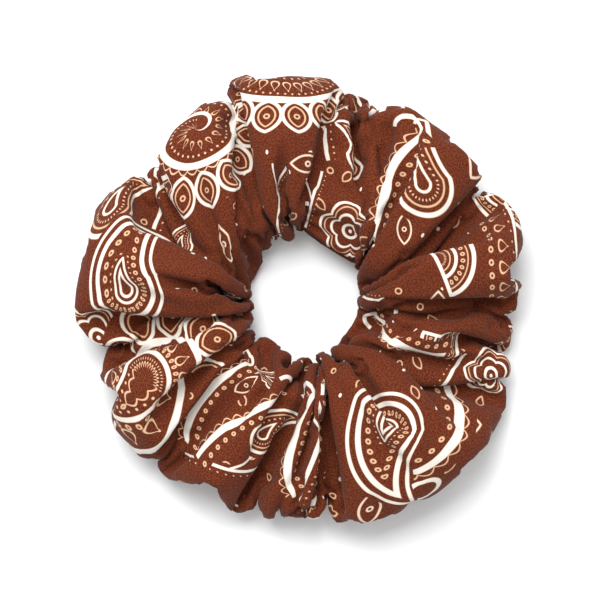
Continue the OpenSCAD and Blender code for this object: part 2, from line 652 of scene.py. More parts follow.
class Row(Enum):
    """What follows a motif's outline."""

    LINE = "line"
    DOTS = "dots"
    RINGS = "rings"
    SCALLOPS = "scallops"
    DROPS = "drops"


@dataclass(frozen=True)
class Band:
    """A line, or a row of small shapes, that follows a motif's outline at a distance.

    Args:
        row: what the band is made of.
        at: its distance outside the outline, or inside it where negative.
        size: the line's width, or the radius of the small shapes.
        pitch: from one small shape to the next.
        ink: how pale it prints, from 0 to 1.
    """

    row: Row
    at: float
    size: float
    pitch: float = 2.0
    ink: float = 1.0

    def draw(self, edge: Field, along: Field) -> Field:
        """Draws the band.

        Args:
            edge: the distance outside the outline.
            along: the distance along it.

        Returns:
            How much ink it lays at each point.
        """
        off = edge - self.at
        if self.row is Row.LINE:
            return (abs(off) - self.size / 2).cover() * self.ink
        step = (along / self.pitch).of("FRACT") - 0.5
        if self.row is Row.SCALLOPS:
            hump = (step * math.pi).of("COSINE")
            return (abs(off - hump * self.size) - FINE_LINE).cover() * self.ink
        across = step * self.pitch
        if self.row is Row.DOTS:
            return (length_of(across, off) - self.size).cover() * self.ink
        if self.row is Row.RINGS:
            return (abs(length_of(across, off) - self.size) - FINE_LINE).cover() * self.ink
        taper = 0.5 - off / (2 * self.size)
        outline = length_of(across / taper.at_least(0.15) * 0.8, off) - self.size
        return (abs(outline) - FINE_LINE).cover() * self.ink


@dataclass(frozen=True)
class Place:
    """Where a motif is printed.

    Args:
        along: millimetres along the strip from the closing seam.
        around: millimetres round the strip from the long seam.
        turn: how far the motif is turned, in degrees.
        size: its scale.
        flipped: whether it is printed as its mirror image.
    """

    along: float
    around: float
    turn: float = 0.0
    size: float = 1.0
    flipped: bool = False


def nearest_spot(cloth: Spot, places: Sequence[Place]) -> Spot:
    """Gives each point of the strip its place in the nearest of several copies of a motif.

    Args:
        cloth: the place on the strip.
        places: where the copies are.

    Returns:
        The place measured from the nearest copy's middle, turned and scaled as it is.
    """
    graph = cloth.x.graph
    best: Spot | None = None
    reach: Field | None = None
    for place in places:
        turn = math.radians(place.turn)
        along, up = math.cos(turn) / place.size, math.sin(turn) / place.size
        side = -1 if place.flipped else 1
        middle = place.along / DRAWN_UP
        start_x = -(middle * along + place.around * up)
        start_y = middle * up - place.around * along
        x = cloth.x.times(side * along, cloth.y.times(side * up, side * start_x))
        y = cloth.x.times(-up, cloth.y.times(along, start_y))
        distance = x.times(x, y * y)
        if best is None or reach is None:
            best, reach = Spot(x, y), distance
            continue
        closer = distance.of("LESS_THAN", reach)
        best = Spot(
            graph.mix_numbers(closer, best.x, x), graph.mix_numbers(closer, best.y, y)
        )
        reach = reach.at_most(distance)
    return best


Outline = tuple[Field, Field]


def boteh_outline(spot: Spot, radius: float, tail: float, bend: float) -> Outline:
    """A drop with a bent tail: a round head at the middle and a tip that curls to +x.

    Args:
        spot: the place measured from the head's middle.
        radius: of the head.
        tail: how far the tip is from the middle, along the bend.
        bend: the bend's radius.

    Returns:
        The distance outside the outline, and the distance along it from the head's foot.
    """
    below = spot.y.of("LESS_THAN", 0.0)
    from_bend = length_of(bend - spot.x, spot.y)
    beside = bend - from_bend
    up = spot.y.of("ARCTAN2", bend - spot.x) * bend
    width = (1 - up / tail).at_least(0.0) ** 0.8 * radius
    past = (up - tail).at_least(0.0)
    tail_edge = length_of(beside, past) - width
    graph = spot.x.graph
    edge = graph.mix_numbers(below, tail_edge, spot.from_middle() - radius)
    foot = abs(spot.x).of("ARCTAN2", -spot.y) * radius
    along = graph.mix_numbers(below, up + radius * math.pi / 2, foot)
    return edge, along


def leaf_outline(x: Field, y: Field, half_length: float, half_width: float) -> Field:
    """Distance outside a leaf with a point at each end of the y axis."""
    offset = (half_length**2 - half_width**2) / (2 * half_width)
    return length_of(abs(x) + offset, y) - (offset + half_width)


def ring_outline(spot: Spot, radius: float) -> Outline:
    """A circle round the middle."""
    return spot.from_middle() - radius, spot.bearing() * radius


def draw_bands(outline: Outline, bands: Sequence[Band]) -> Field:
    """Lays all the bands of an outline over each other.

    Args:
        outline: the distances outside it and along it.
        bands: what follows it.

    Returns:
        Their ink together.
    """
    edge, along = outline
    inks = [band.draw(edge, along) for band in bands]
    total = inks[0]
    for ink in inks[1:]:
        total = total.at_least(ink)
    return total


@dataclass(frozen=True)
class PetalRow:
    """Leaves that stand out from a circle.

    Args:
        count: how many there would be all the way round.
        at: how far their middles are from the circle's centre.
        half_length: half of a leaf's length.
        half_width: half of a leaf's width.
    """

    count: int
    at: float
    half_length: float
    half_width: float

    def draw(self, spot: Spot) -> Field:
        """Draws each leaf as a thick outline with a fine one and a ring inside it.

        Args:
            spot: the place measured from the circle's middle.

        Returns:
            The leaves' ink.
        """
        sector = math.tau / self.count
        turned = ((spot.bearing() / sector).of("FRACT") - 0.5) * sector
        far = spot.from_middle()
        x, y = far * turned.of("SINE"), far * turned.of("COSINE") - self.at
        edge = leaf_outline(x, y, self.half_length, self.half_width)
        thick = (abs(edge) - 0.37).cover()
        fine = (abs(edge + 1.15) - 0.16).cover() * CREAM_INK
        seed = (abs(length_of(x, y) - 0.5) - 0.16).cover() * CREAM_INK
        return thick.at_least(fine).at_least(seed)


@dataclass(frozen=True)
class Motif:
    """One kind of figure, printed at several places.

    Args:
        places: where its copies are.
        figure: draws it, given a spot, and returns its ink and its distance outside its edge.
        margin: how far round it the cloth stays bare of what lies under it.
    """

    places: tuple[Place, ...]
    figure: Callable[[Spot], tuple[Field, Field]]
    margin: float = 0.8

    def lay_over(self, cloth: Spot, under: Field) -> Field:
        """Prints the motif over what is already there.

        Args:
            cloth: the place on the strip.
            under: the ink that is already there.

        Returns:
            The ink with the motif.
        """
        ink, edge = self.figure(nearest_spot(cloth, self.places))
        bare = (edge - self.margin).cover()
        return (under * (1 - bare)).at_least(ink)


def great_boteh(spot: Spot) -> tuple[Field, Field]:
    """The largest figure: a bent drop in two thick outlines, with a smaller drop inside.

    Args:
        spot: the place on the strip, measured from the figure's middle.

    Returns:
        Its ink from 0 to 1, and the distance outside its edge.
    """
    outline = boteh_outline(spot, 9.2, 24.0, 17.0)
    bands = (
        Band(Row.LINE, 0.0, 0.8),
        Band(Row.LINE, -2.2, 1.15),
        Band(Row.RINGS, -4.3, 0.4, 2.0, CREAM_INK),
    )
    seed = boteh_outline(Spot(spot.x, spot.y + 0.6), 2.7, 6.5, 14.0)
    seed_bands = (
        Band(Row.LINE, 0.0, 0.55),
        Band(Row.LINE, -1.25, 0.6),
        Band(Row.DOTS, 1.15, 0.18, 1.2, CREAM_INK),
    )
    ink = draw_bands(outline, bands)
    inside = (outline[0] + 3.2).cover()
    hook = (abs(length_of(spot.x - 14.6, spot.y - 13.6) - 2.8) - 0.5).cover()
    hook = hook * (spot.x - spot.y).of("GREATER_THAN", -1.2)
    ink = ink.at_least(draw_bands(seed, seed_bands) * inside).at_least(hook)
    return ink, outline[0] - 0.6


def seeded_boteh(spot: Spot) -> tuple[Field, Field]:
    """A large bent drop, with teardrops in a ring between its two thick outlines.

    Args:
        spot: the place on the strip, measured from the figure's middle.

    Returns:
        Its ink from 0 to 1, and the distance outside its edge.
    """
    outline = boteh_outline(spot, 11.5, 25.0, 15.0)
    bands = (
        Band(Row.LINE, 0.0, 1.3),
        Band(Row.DROPS, -3.1, 1.35, 4.3, 0.8),
        Band(Row.RINGS, -5.1, 0.38, 2.15, CREAM_INK),
        Band(Row.LINE, -6.5, 0.95),
        Band(Row.DOTS, -7.9, 0.24, 1.7, 0.8),
        Band(Row.SCALLOPS, -9.4, 0.8, 2.4, CREAM_INK),
    )
    petals = PetalRow(13, 16.4, 4.4, 3.5).draw(spot) * spot.y.of("LESS_THAN", -3.0)
    ink = draw_bands(outline, bands) * (outline[0] - 1.2).cover()
    return ink.at_least(petals), (outline[0] - 1.0).at_most(
        (spot.from_middle() - 20.5).at_least(spot.y + 3.0)
    )


def seed_row(spot: Spot) -> tuple[Field, Field]:
    """A row of seeds and a row of rings beside a white line.

    Args:
        spot: the place on the strip, measured from the figure's middle.

    Returns:
        Its ink from 0 to 1, and the distance outside its edge.
    """
    rows = draw_bands(
        (spot.x - spot.y * spot.y * 0.015, spot.y),
        (
            Band(Row.DROPS, 0.0, 1.3, 4.0, CREAM_INK),
            Band(Row.RINGS, -3.3, 0.45, 2.4, CREAM_INK),
            Band(Row.LINE, 4.2, 0.9),
            Band(Row.DOTS, 2.8, 0.2, 2.0, CREAM_INK),
        ),
    )
    within = abs(spot.y) - 12.0
    return rows * within.cover(), (abs(spot.x) - 4.6).at_least(within)


def small_boteh(spot: Spot) -> tuple[Field, Field]:
    """A drop in a white outline with fine ones and a seed inside it.

    Args:
        spot: the place on the strip, measured from the figure's middle.

    Returns:
        Its ink from 0 to 1, and the distance outside its edge.
    """
    outline = boteh_outline(spot, 4.6, 12.0, 9.0)
    bands = (
        Band(Row.LINE, 0.0, 0.75),
        Band(Row.LINE, -1.25, 0.3, ink=CREAM_INK),
        Band(Row.DOTS, -2.2, 0.2, 1.1, 0.8),
        Band(Row.LINE, -3.4, 0.45),
    )
    return draw_bands(outline, bands), outline[0] - 0.7


def swirl(spot: Spot) -> tuple[Field, Field]:
    """A thick round curl, with beads and seeds inside it and petals outside it.

    Args:
        spot: the place on the strip, measured from the figure's middle.

    Returns:
        Its ink from 0 to 1, and the distance outside its edge.
    """
    turn = (spot.bearing() / math.tau + 1.0).of("FRACT")
    far = spot.from_middle()
    arm = far - (9.6 - turn * turn * 5.0)
    tip = far - (9.6 - (turn + 1) ** 2 * 5.0).at_least(0.0)
    ink = (abs(arm) - (1.0 - turn * 0.45)).cover()
    ink = ink.at_least((abs(tip) - (0.5 - turn * 0.9)).cover())
    curl = (arm, turn * 50.0)
    ink = ink.at_least(
        draw_bands(
            curl,
            (
                Band(Row.SCALLOPS, 0.9, 0.9, 2.0, 0.8),
                Band(Row.DOTS, -2.1, 0.26, 1.6, 0.8),
                Band(Row.DROPS, -4.4, 0.9, 3.4, 0.7),
            ),
        )
        * (far - 10.9).cover()
    )
    petals = PetalRow(14, 14.6, 4.2, 2.9).draw(spot) * (spot.x - spot.y).of("GREATER_THAN", -4.0)
    edge = (far - 10.8).at_most((far - 17.5).at_least(spot.y - spot.x - 4.0))
    return ink.at_least(petals), edge


def half_flower(spot: Spot) -> tuple[Field, Field]:
    """A fan of half rings with beads between them.

    Args:
        spot: the place on the strip, measured from the figure's middle.

    Returns:
        Its ink from 0 to 1, and the distance outside its edge.
    """
    outline = ring_outline(spot, 9.0)
    bands = (
        Band(Row.LINE, 0.0, 1.1),
        Band(Row.LINE, -1.5, 0.3, ink=CREAM_INK),
        Band(Row.RINGS, -2.8, 0.42, 2.0, CREAM_INK),
        Band(Row.LINE, -4.5, 0.85),
        Band(Row.LINE, -6.0, 0.3, ink=CREAM_INK),
        Band(Row.DOTS, -7.2, 0.3, 1.6, 0.8),
    )
    shoulder = (abs(spot.y + 0.4) - 0.45).cover() * (abs(spot.x) - 9.4).cover()
    ink = draw_bands(outline, bands) * spot.y.of("GREATER_THAN", -0.4)
    return ink.at_least(shoulder), (outline[0] - 0.6).at_least(-0.9 - spot.y)


def crescent(spot: Spot) -> tuple[Field, Field]:
    """A thick arc, open downward, with petals outside it and teardrops inside it.

    Args:
        spot: the place on the strip, measured from the figure's middle.

    Returns:
        Its ink from 0 to 1, and the distance outside its edge.
    """
    outline = ring_outline(spot, 12.5)
    edge = outline[0]
    reach = spot.bearing().of("COSINE")
    thick = (reach - 0.1).at_least(0.0) * 0.95
    arc = (abs(edge) - thick).cover() * reach.of("GREATER_THAN", 0.1)
    rows = draw_bands(
        outline,
        (
            Band(Row.DROPS, -3.6, 1.25, 3.1, 0.8),
            Band(Row.DOTS, -6.4, 0.35, 3.1, 0.8),
            Band(Row.DOTS, -1.6, 0.22, 1.5, CREAM_INK),
        ),
    )
    rows = rows.at_least(PetalRow(18, 16.7, 3.7, 2.8).draw(spot))
    inside = (edge - 7.6).at_least(-6.0 - edge)
    shown = reach.of("GREATER_THAN", 0.3)
    return arc.at_least(rows * shown), inside.at_least((0.25 - reach) * 12.0)


def stem(spot: Spot) -> tuple[Field, Field]:
    """A long bowed stem that ends in a hook, with scallops on one side and rings on the other.

    Args:
        spot: the place on the strip, measured from the figure's middle.

    Returns:
        Its ink from 0 to 1, and the distance outside its edge.
    """
    off = spot.x - spot.y * spot.y * 0.02
    within = (abs(spot.y) - 14.0).cover()
    ink = (abs(off) - (1.15 - abs(spot.y) / 22.0)).cover() * within
    rows = draw_bands(
        (off, spot.y),
        (
            Band(Row.RINGS, 2.4, 0.36, 2.4, CREAM_INK),
            Band(Row.SCALLOPS, -0.9, -1.1, 2.6, CREAM_INK),
        ),
    )
    hook = abs(length_of(spot.x - 0.9, spot.y - 13.0) - 3.0) - 0.5
    hook_ink = hook.cover() * spot.y.of("GREATER_THAN", 13.0)
    return ink.at_least(rows * within).at_least(hook_ink), (abs(off) - 3.0).at_least(
        abs(spot.y) - 14.0
    )


def vine(spot: Spot) -> tuple[Field, Field]:
    """A plain white branch that forks.

    Args:
        spot: the place on the strip, measured from the figure's middle.

    Returns:
        Its ink from 0 to 1, and the distance outside its edge.
    """
    off = spot.x - (spot.y / 11.0).of("SINE") * 3.0
    other = spot.x + spot.y * 0.35 - 1.0
    within = (abs(spot.y) - 16.0).cover()
    ink = (abs(off) - 0.5).cover().at_least(
        (abs(other) - 0.4).cover() * spot.y.of("GREATER_THAN", 2.0)
    )
    beads = Band(Row.DOTS, 1.7, 0.22, 1.9, CREAM_INK).draw(off, spot.y)
    return ink.at_least(beads) * within, (abs(off) - 0.9).at_least(abs(spot.y) - 16.0)


def flower(spot: Spot) -> tuple[Field, Field]:
    """A flower of nested scalloped outlines round a small curl.

    Args:
        spot: the place on the strip, measured from the figure's middle.

    Returns:
        Its ink from 0 to 1, and the distance outside its edge.
    """
    far = spot.from_middle()
    lobes = abs((spot.bearing() * 2.5).of("COSINE"))
    outer = far - (6.4 + lobes * 1.7)
    middle = far - (3.9 + lobes * 1.2)
    ink = (abs(outer) - 0.36).cover().at_least((abs(middle) - 0.33).cover())
    ink = ink.at_least((abs(outer + 1.2) - 0.16).cover() * 0.7)
    ink = ink.at_least((abs(far - 1.9) - 0.4).cover()).at_least((far - 0.5).cover())
    return ink, outer - 0.4


def small_leaf(spot: Spot) -> tuple[Field, Field]:
    """A small leaf with an eye.

    Args:
        spot: the place on the strip, measured from the figure's middle.

    Returns:
        Its ink from 0 to 1, and the distance outside its edge.
    """
    edge = leaf_outline(spot.x, spot.y, 4.2, 2.0)
    ink = (abs(edge) - 0.24).cover() * 0.9
    eye = (abs(spot.from_middle() - 0.55) - 0.2).cover() * 0.9
    return ink.at_least(eye), edge


def scattered_seeds(cloth: Spot) -> Field:
    """Small rings, seeds and dots, thinly scattered between the larger figures.

    Args:
        cloth: the place on the strip.

    Returns:
        Their ink.
    """
    graph = cloth.x.graph
    pitch = 5.6
    cells = [axis / pitch for axis in (cloth.x, cloth.y)]
    low = [c.of("FLOOR") for c in cells]
    corner = graph.node("ShaderNodeCombineXYZ", {0: low[0], 1: low[1]}).outputs[0]
    noise = graph.node("ShaderNodeTexWhiteNoise", {0: corner}, noise_dimensions="2D")
    rgb = graph.node("ShaderNodeSeparateColor", {0: noise.outputs["Color"]})
    red, green, blue = (Field(graph, rgb.outputs[i]) for i in range(3))
    x = (cells[0] - low[0] - 0.5 - (red - 0.5) * 0.4) * pitch
    y = (cells[1] - low[1] - 0.5 - (green - 0.5) * 0.4) * pitch
    far = length_of(x, y)
    angle = red * math.tau
    turned_x = x * angle.of("COSINE") + y * angle.of("SINE")
    turned_y = y * angle.of("COSINE") - x * angle.of("SINE")
    dot = (length_of(turned_x * 1.6, turned_y) - 0.55).cover()
    ring = (abs(far - 0.7) - FINE_LINE).cover() * CREAM_INK
    seed = (abs(leaf_outline(turned_x, turned_y, 1.7, 0.9)) - FINE_LINE).cover() * CREAM_INK
    shape = graph.mix_numbers(blue.of("GREATER_THAN", 0.80), dot, ring)
    shape = graph.mix_numbers(blue.of("GREATER_THAN", 0.90), shape, seed)
    return shape * blue.of("GREATER_THAN", 0.6)


@dataclass(frozen=True)
class PrintedCloth:
    """Rust-brown woven cloth with an off-white print.

    Args:
        brown: the ground where it is darkest.
        brown_lit: the ground where it is lightest.
        cream: the colour of the print's fine lines.
        white: the colour of its thick lines.
        tint_share: as much ink as prints fully cream.
        thread_pitch: from one thread to the next, in millimetres.
        mottle_scale: patches to the millimetre.
        mottle_share: how much they change the ground.
        fleck_scale: flecks to the millimetre.
        fleck_share: how much they change it.
        weave_share: how much the threads' crossings change it.
        shade: where the ground lies between its two colours, before all that.
    """

    brown: Colour = (0.066, 0.0064, 0.0006, 1)
    brown_lit: Colour = (0.141, 0.0336, 0.0115, 1)
    cream: Colour = (0.63, 0.38, 0.225, 1)
    white: Colour = (0.68, 0.66, 0.61, 1)
    tint_share: float = CREAM_INK
    thread_pitch: float = 0.34
    mottle_scale: float = 1.5
    mottle_share: float = 0.8
    fleck_scale: float = 2.8
    fleck_share: float = 4.0
    weave_share: float = 0.5
    shade: float = 0.3

    def motifs(self) -> tuple[Motif, ...]:
        """Lists the motifs.

        About half of the places, on the side that faces up, are the results of a separate program
        that fitted them to the gathered strip. They aren't worked out here or chosen by hand.

        Returns:
            All of them, from the lowest layer to the highest.
        """
        return (
            Motif(
                (
                    Place(204, 9, -148),
                    Place(223, 38, 155, 0.6),
                    Place(198, 37, -170, 0.6),
                    Place(390, 14, -61, 0.8),
                    Place(427, 26, 0),
                    Place(276, 10, 143, 0.9),
                    Place(60, 22, 60, 0.8),
                    Place(158, 62, 60),
                    Place(330, 72, -40),
                    Place(245, 96, 100),
                    Place(60, 92, 80),
                    Place(100, 50, 20, 0.7),
                ),
                vine,
            ),
            Motif(
                (
                    Place(210, 27, 105),
                    Place(264, 34, 148, 1.1),
                    Place(379, 34, -25, 0.8),
                    Place(149, 28, -124, 0.8),
                    Place(150, 2, -168, 1.2),
                    Place(44, 11, 25, 1.1),
                    Place(101, 26, -89),
                    Place(16, 6, -20),
                    Place(300, 92, 30),
                    Place(30, 62, 150),
                    Place(130, 94, 70),
                    Place(420, 60, 10),
                    Place(232, 66, 40),
                ),
                small_leaf,
            ),
            Motif(
                (
                    Place(185, 40, -153),
                    Place(322, 4, 45, 0.9),
                    Place(64, 8, -89, 0.8),
                    Place(95, 84, 20),
                    Place(290, 55, 120, 0.8),
                    Place(400, 96, 60),
                ),
                flower,
            ),
            Motif(
                (
                    Place(114, 26, -157, 0.95),
                    Place(79, 20, 88, 0.75),
                    Place(127, 1, 40, 0.75),
                    Place(10, 96, 160),
                    Place(200, 62, 20, 0.8),
                    Place(365, 90, 100),
                    Place(55, 70, -60, 0.8),
                ),
                half_flower,
            ),
            Motif(
                (
                    Place(155, 18, -113, 1.45),
                    Place(292, 5, 126, 1.3),
                    Place(386, 40, 72, 0.6, True),
                    Place(276, 24, 147, 0.6),
                    Place(398, 25, -26, 1.0),
                    Place(189, 19, -160, 0.9, True),
                    Place(260, 78, 100, 1.3),
                    Place(175, 84, -30),
                    Place(80, 60, 130),
                    Place(430, 82, 40, 1.2, True),
                ),
                small_boteh,
            ),
            Motif(
                (
                    Place(113, 10, -95),
                    Place(255, 70, 20),
                    Place(10, 70, 90),
                    Place(355, 98, 40),
                ),
                seed_row,
            ),
            Motif(
                (
                    Place(171, 24, 172, 1.15),
                    Place(43, 12, 100, 1.2),
                    Place(76, 34, -23),
                    Place(371, 27, -4),
                    Place(388, 27, -29),
                    Place(415, 24, 5),
                    Place(436, 20, 172, 1.1),
                    Place(310, 88, 60),
                    Place(140, 74, 20),
                    Place(20, 80, 110),
                    Place(385, 68, 40),
                ),
                stem,
            ),
            Motif(
                (
                    Place(218, 0, 0),
                    Place(330, 96, 50),
                    Place(165, 100, 150, 0.8),
                    Place(110, 68, 80, 0.8),
                    Place(218, 80, 170),
                ),
                crescent,
            ),
            Motif(
                (
                    Place(250, 9, 142),
                    Place(70, 96, 30, 0.9),
                    Place(288, 78, 0, 0.8),
                ),
                swirl,
            ),
            Motif(
                (
                    Place(349, 16, -140, 1.2),
                    Place(190, 92, 60),
                    Place(352, 76, 20),
                ),
                seeded_boteh,
            ),
            Motif(
                (
                    Place(29, 27, 130, 1.05, True),
                    Place(308, 17, 117),
                    Place(145, 90, 60),
                    Place(405, 84, 160, 1.0, True),
                    Place(40, 84, 20),
                    Place(240, 60, 30, 0.9),
                ),
                great_boteh,
            ),
        )

    def build(self) -> bpy.types.Material:
        """Makes the material, with its weave and print.

        Returns:
            The new material.
        """
        material, graph, shader = start_material("Printed cloth")
        uv = graph.node("ShaderNodeUVMap", uv_map="Cloth").outputs[0]
        cloth = graph.node(
            "ShaderNodeVectorMath",
            {0: uv, 1: (STRIP_LENGTH, STRIP_ROUND, 0)},
            operation="MULTIPLY",
        ).outputs[0]
        parts = graph.node("ShaderNodeSeparateXYZ", {0: cloth})
        spot = Spot(Field(graph, parts.outputs[0]) / DRAWN_UP, Field(graph, parts.outputs[1]))
        ink = scattered_seeds(spot)
        for motif in self.motifs():
            ink = motif.lay_over(spot, ink)
        mottle = graph.field(
            "ShaderNodeTexNoise", {"Vector": cloth, "Scale": self.mottle_scale, "Detail": 2.0}
        )
        fleck = graph.field(
            "ShaderNodeTexNoise", {"Vector": cloth, "Scale": self.fleck_scale, "Detail": 1.0}
        )
        weave = self._weave(spot)
        uneven = (mottle - 0.5) * self.mottle_share + (fleck - 0.5) * self.fleck_share
        shade = (uneven + weave * self.weave_share + self.shade).at_least(0.0)
        ground = graph.mix_colours(shade.at_most(1.0), self.brown, self.brown_lit)
        tinted = graph.mix_colours((ink / self.tint_share).at_most(1.0), ground, self.cream)
        whole = ((ink - self.tint_share) / (1.0 - self.tint_share)).at_least(0.0)
        worn = whole * (fleck * 0.5 + 0.72).at_most(1.0)
        colour = graph.mix_colours(worn, tinted, self.white)
        shader.inputs["Specular IOR Level"].default_value = 0.14
        shader.inputs["Sheen Weight"].default_value = 0.05
        shader.inputs["Sheen Roughness"].default_value = 0.5
        height = weave * 0.6 + fleck * 0.5 + ink * 0.12
        dress_shader(graph, shader, colour, height, 0.86, strength=0.35, depth=0.12 * MM)
        return material

    def _weave(self, cloth: Spot) -> Field:
        """Crossing threads, from 0 to 1."""
        x, y = (axis * (math.pi / self.thread_pitch) for axis in (cloth.x, cloth.y))
        return abs(x.of("SINE") * y.of("SINE"))


@dataclass(frozen=True)
class BraidedElastic:
    """Matte off-white braid over rubber cores, with painted shade in the braid's hollows."""

    pale: Colour = (0.74, 0.72, 0.67, 1)
    # painted shade: the darker colour laid in the braid's hollows
    painted_groove_shade: Colour = (0.42, 0.40, 0.37, 1)

    def build(self) -> bpy.types.Material:
        """Makes the material, with its slanted braid in relief and painted shade in its hollows.

        Returns:
            The new material.
        """
        material, graph, shader = start_material("Braided elastic")
        place = graph.node("ShaderNodeTexCoord").outputs["Object"]
        parts = graph.node("ShaderNodeSeparateXYZ", {0: place})
        x, y, z = (Field(graph, parts.outputs[i]) for i in range(3))
        round_it = x.of("ARCTAN2", y) * (ELASTIC_RADIUS * math.tau / 1.1)
        up = z * (math.tau / (1.1 * MM))
        braid = abs((round_it + up).of("SINE") * (round_it - up).of("SINE"))
        # painted shade: where the braid's relief is low, the colour goes to the darker one
        colour = graph.mix_colours(braid, self.painted_groove_shade, self.pale)
        dress_shader(graph, shader, colour, braid, 0.8, strength=0.6, depth=0.2 * MM)
        return material


@dataclass(frozen=True)
class TwistedThread:
    """Sewing thread, whose plies show as slanted bands in relief, with painted shade in the
    grooves between them.
    """

    name: str
    colour: Colour
    # painted shade: the darker colour laid in the grooves between the plies
    painted_groove_shade: Colour

    def build(self) -> bpy.types.Material:
        """Makes the material, with its twist in relief and painted shade in its grooves.

        Returns:
            The new material.
        """
        material, graph, shader = start_material(self.name)
        place = graph.node("ShaderNodeTexCoord").outputs["Object"]
        twist = graph.field(
            "ShaderNodeTexWave", {"Vector": place, "Scale": 700.0, "Distortion": 1.0}
        )
        # painted shade: where the twist's relief is low, the colour goes to the darker one
        colour = graph.mix_colours(twist, self.painted_groove_shade, self.colour)
        dress_shader(graph, shader, colour, twist, 0.7, strength=0.4, depth=0.1 * MM)
        return material


def stretch_with_loop(piece: bpy.types.Object, slot: str, *nodes: str) -> None:
    """Bakes a piece's placing into its mesh, and hides the frame's nodes that it replaces.

    Args:
        piece: the finished piece.
        slot: not used.
        *nodes: the frame's nodes that it replaces.
    """
    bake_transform(piece)
    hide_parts(*nodes)


def apply_modifiers(piece: bpy.types.Object) -> None:
    """Applies every modifier of a piece, in order.

    Args:
        piece: the object that holds them.
    """
    bpy.ops.object.select_all(action="DESELECT")
    piece.select_set(True)
    bpy.context.view_layer.objects.active = piece
    for name in [m.name for m in piece.modifiers]:
        bpy.ops.object.modifier_apply(modifier=name)


def thread_along(
    name: str, points: Sequence[Vector], radius: float, closed: bool
) -> bpy.types.Object:
    """Makes a round thread through a row of points.

    Args:
        name: the piece's name.
        points: the thread's path, in metres.
        radius: the thread's radius, in metres.
        closed: whether its ends meet.

    Returns:
        The thread, as a mesh.
    """
    curve = bpy.data.curves.new(name, "CURVE")
    curve.dimensions = "3D"
    curve.bevel_depth = radius
    curve.bevel_resolution = 1
    curve.use_fill_caps = not closed
    spline = curve.splines.new("POLY")
    spline.points.add(len(points) - 1)
    for knot, point in zip(spline.points, points):
        knot.co = (*point, 1.0)
    spline.use_cyclic_u = closed
    thread = bpy.data.objects.new(name, curve)
    bpy.context.collection.objects.link(thread)
    bpy.ops.object.select_all(action="DESELECT")
    thread.select_set(True)
    bpy.context.view_layer.objects.active = thread
    bpy.ops.object.convert(target="MESH")
    bpy.ops.object.shade_smooth()
    return thread


@dataclass
class Cover:
    """The gathered, printed tube of cloth and the threads of its two seams."""

    frame_box: tuple[Sequence[float], Sequence[float]]
    thickness: float = 0.4 * MM
    seam_depth: float = 0.7 * MM
    thread_depth: float = 1.5 * MM
    thread_radius: float = 0.2 * MM

    def build(self) -> None:
        """Makes, gathers and dresses the cover."""
        settings = GatherSettings()
        tube = GatheredTube(settings)
        cover = tube.build()
        tube.simulate(cover)
        cover.vertex_groups.clear()
        cover.data.transform(Matrix.Scale(MM / SIM_SCALE, 4))
        self._fill_frame(cover)
        columns, rows = settings.columns, settings.rows
        long_seam = [column * rows for column in range(columns)]
        closing_seam = list(range(rows))
        self._sink_seams(cover, set(long_seam) | set(closing_seam))
        # the thread's last colour is painted shade for the grooves of its twist
        thread = TwistedThread("Brown thread", (0.17, 0.045, 0.022, 1), (0.07, 0.018, 0.01, 1))
        finish = thread.build()
        for name, seam, nodes in (
            ("long_seam_stitching", long_seam, ("long_seam_near", "long_seam_far")),
            ("closing_seam_stitching", closing_seam, ("closing_seam_thread",)),
        ):
            stitching = self._seam_thread(cover, name, seam)
            stitching.data.materials.append(finish)
            stretch_with_loop(stitching, "sewing_thread", *nodes)
            LOG.info("%s: %d vertices", name, len(stitching.data.vertices))
        self._thicken(cover)
        cover.data.materials.append(PrintedCloth().build())
        stretch_with_loop(cover, "printed_cotton", "cover_near", "cover_far")
        LOG.info("cover: %d faces", len(cover.data.polygons))

    def _fill_frame(self, cover: bpy.types.Object) -> None:
        """Fits the simulated cover to the frame's box, which it has to within a few hundredths.

        Args:
            cover: the cover in metres, before it gets its thickness.
        """
        low, high = self.frame_box
        for axis in range(3):
            places = [vertex.co[axis] for vertex in cover.data.vertices]
            first, last = min(places), max(places)
            factor = (high[axis] - low[axis]) / (last - first)
            for vertex in cover.data.vertices:
                vertex.co[axis] = low[axis] + (vertex.co[axis] - first) * factor

    def _sink_seams(self, cover: bpy.types.Object, seam: set[int]) -> None:
        """Draws the cloth in a little along both seams.

        Args:
            cover: the cover, before it gets its thickness.
            seam: the numbers of the seams' points.
        """
        inward = {i: cover.data.vertices[i].normal.copy() for i in seam}
        for i, normal in inward.items():
            cover.data.vertices[i].co -= normal * self.seam_depth

    def _seam_thread(
        self, cover: bpy.types.Object, name: str, seam: Sequence[int]
    ) -> bpy.types.Object:
        """Makes the thread that runs along a seam, inside the tube.

        Args:
            cover: the cover, before it gets its thickness.
            name: the thread's name.
            seam: the numbers of the seam's points, in order.

        Returns:
            The thread.
        """
        vertices = [cover.data.vertices[i] for i in seam]
        points = [v.co - v.normal * self.thread_depth for v in vertices]
        return thread_along(name, points, self.thread_radius, closed=True)

    def _thicken(self, cover: bpy.types.Object) -> None:
        """Rounds the cloth between its points, above the table, and gives it its thickness.

        Args:
            cover: the gathered cover.
        """
        bpy.ops.object.select_all(action="DESELECT")
        cover.select_set(True)
        bpy.context.view_layer.objects.active = cover
        bpy.ops.object.mode_set(mode="EDIT")
        bpy.ops.mesh.select_all(action="SELECT")
        bpy.ops.mesh.subdivide(number_cuts=1, smoothness=1.0)
        bpy.ops.object.mode_set(mode="OBJECT")
        table = self.frame_box[0][2]
        for vertex in cover.data.vertices:
            vertex.co.z = max(vertex.co.z, table)
        wall = cover.modifiers.new("Thickness", "SOLIDIFY")
        wall.thickness = self.thickness
        wall.offset = -1
        apply_modifiers(cover)
        bpy.ops.object.shade_smooth()


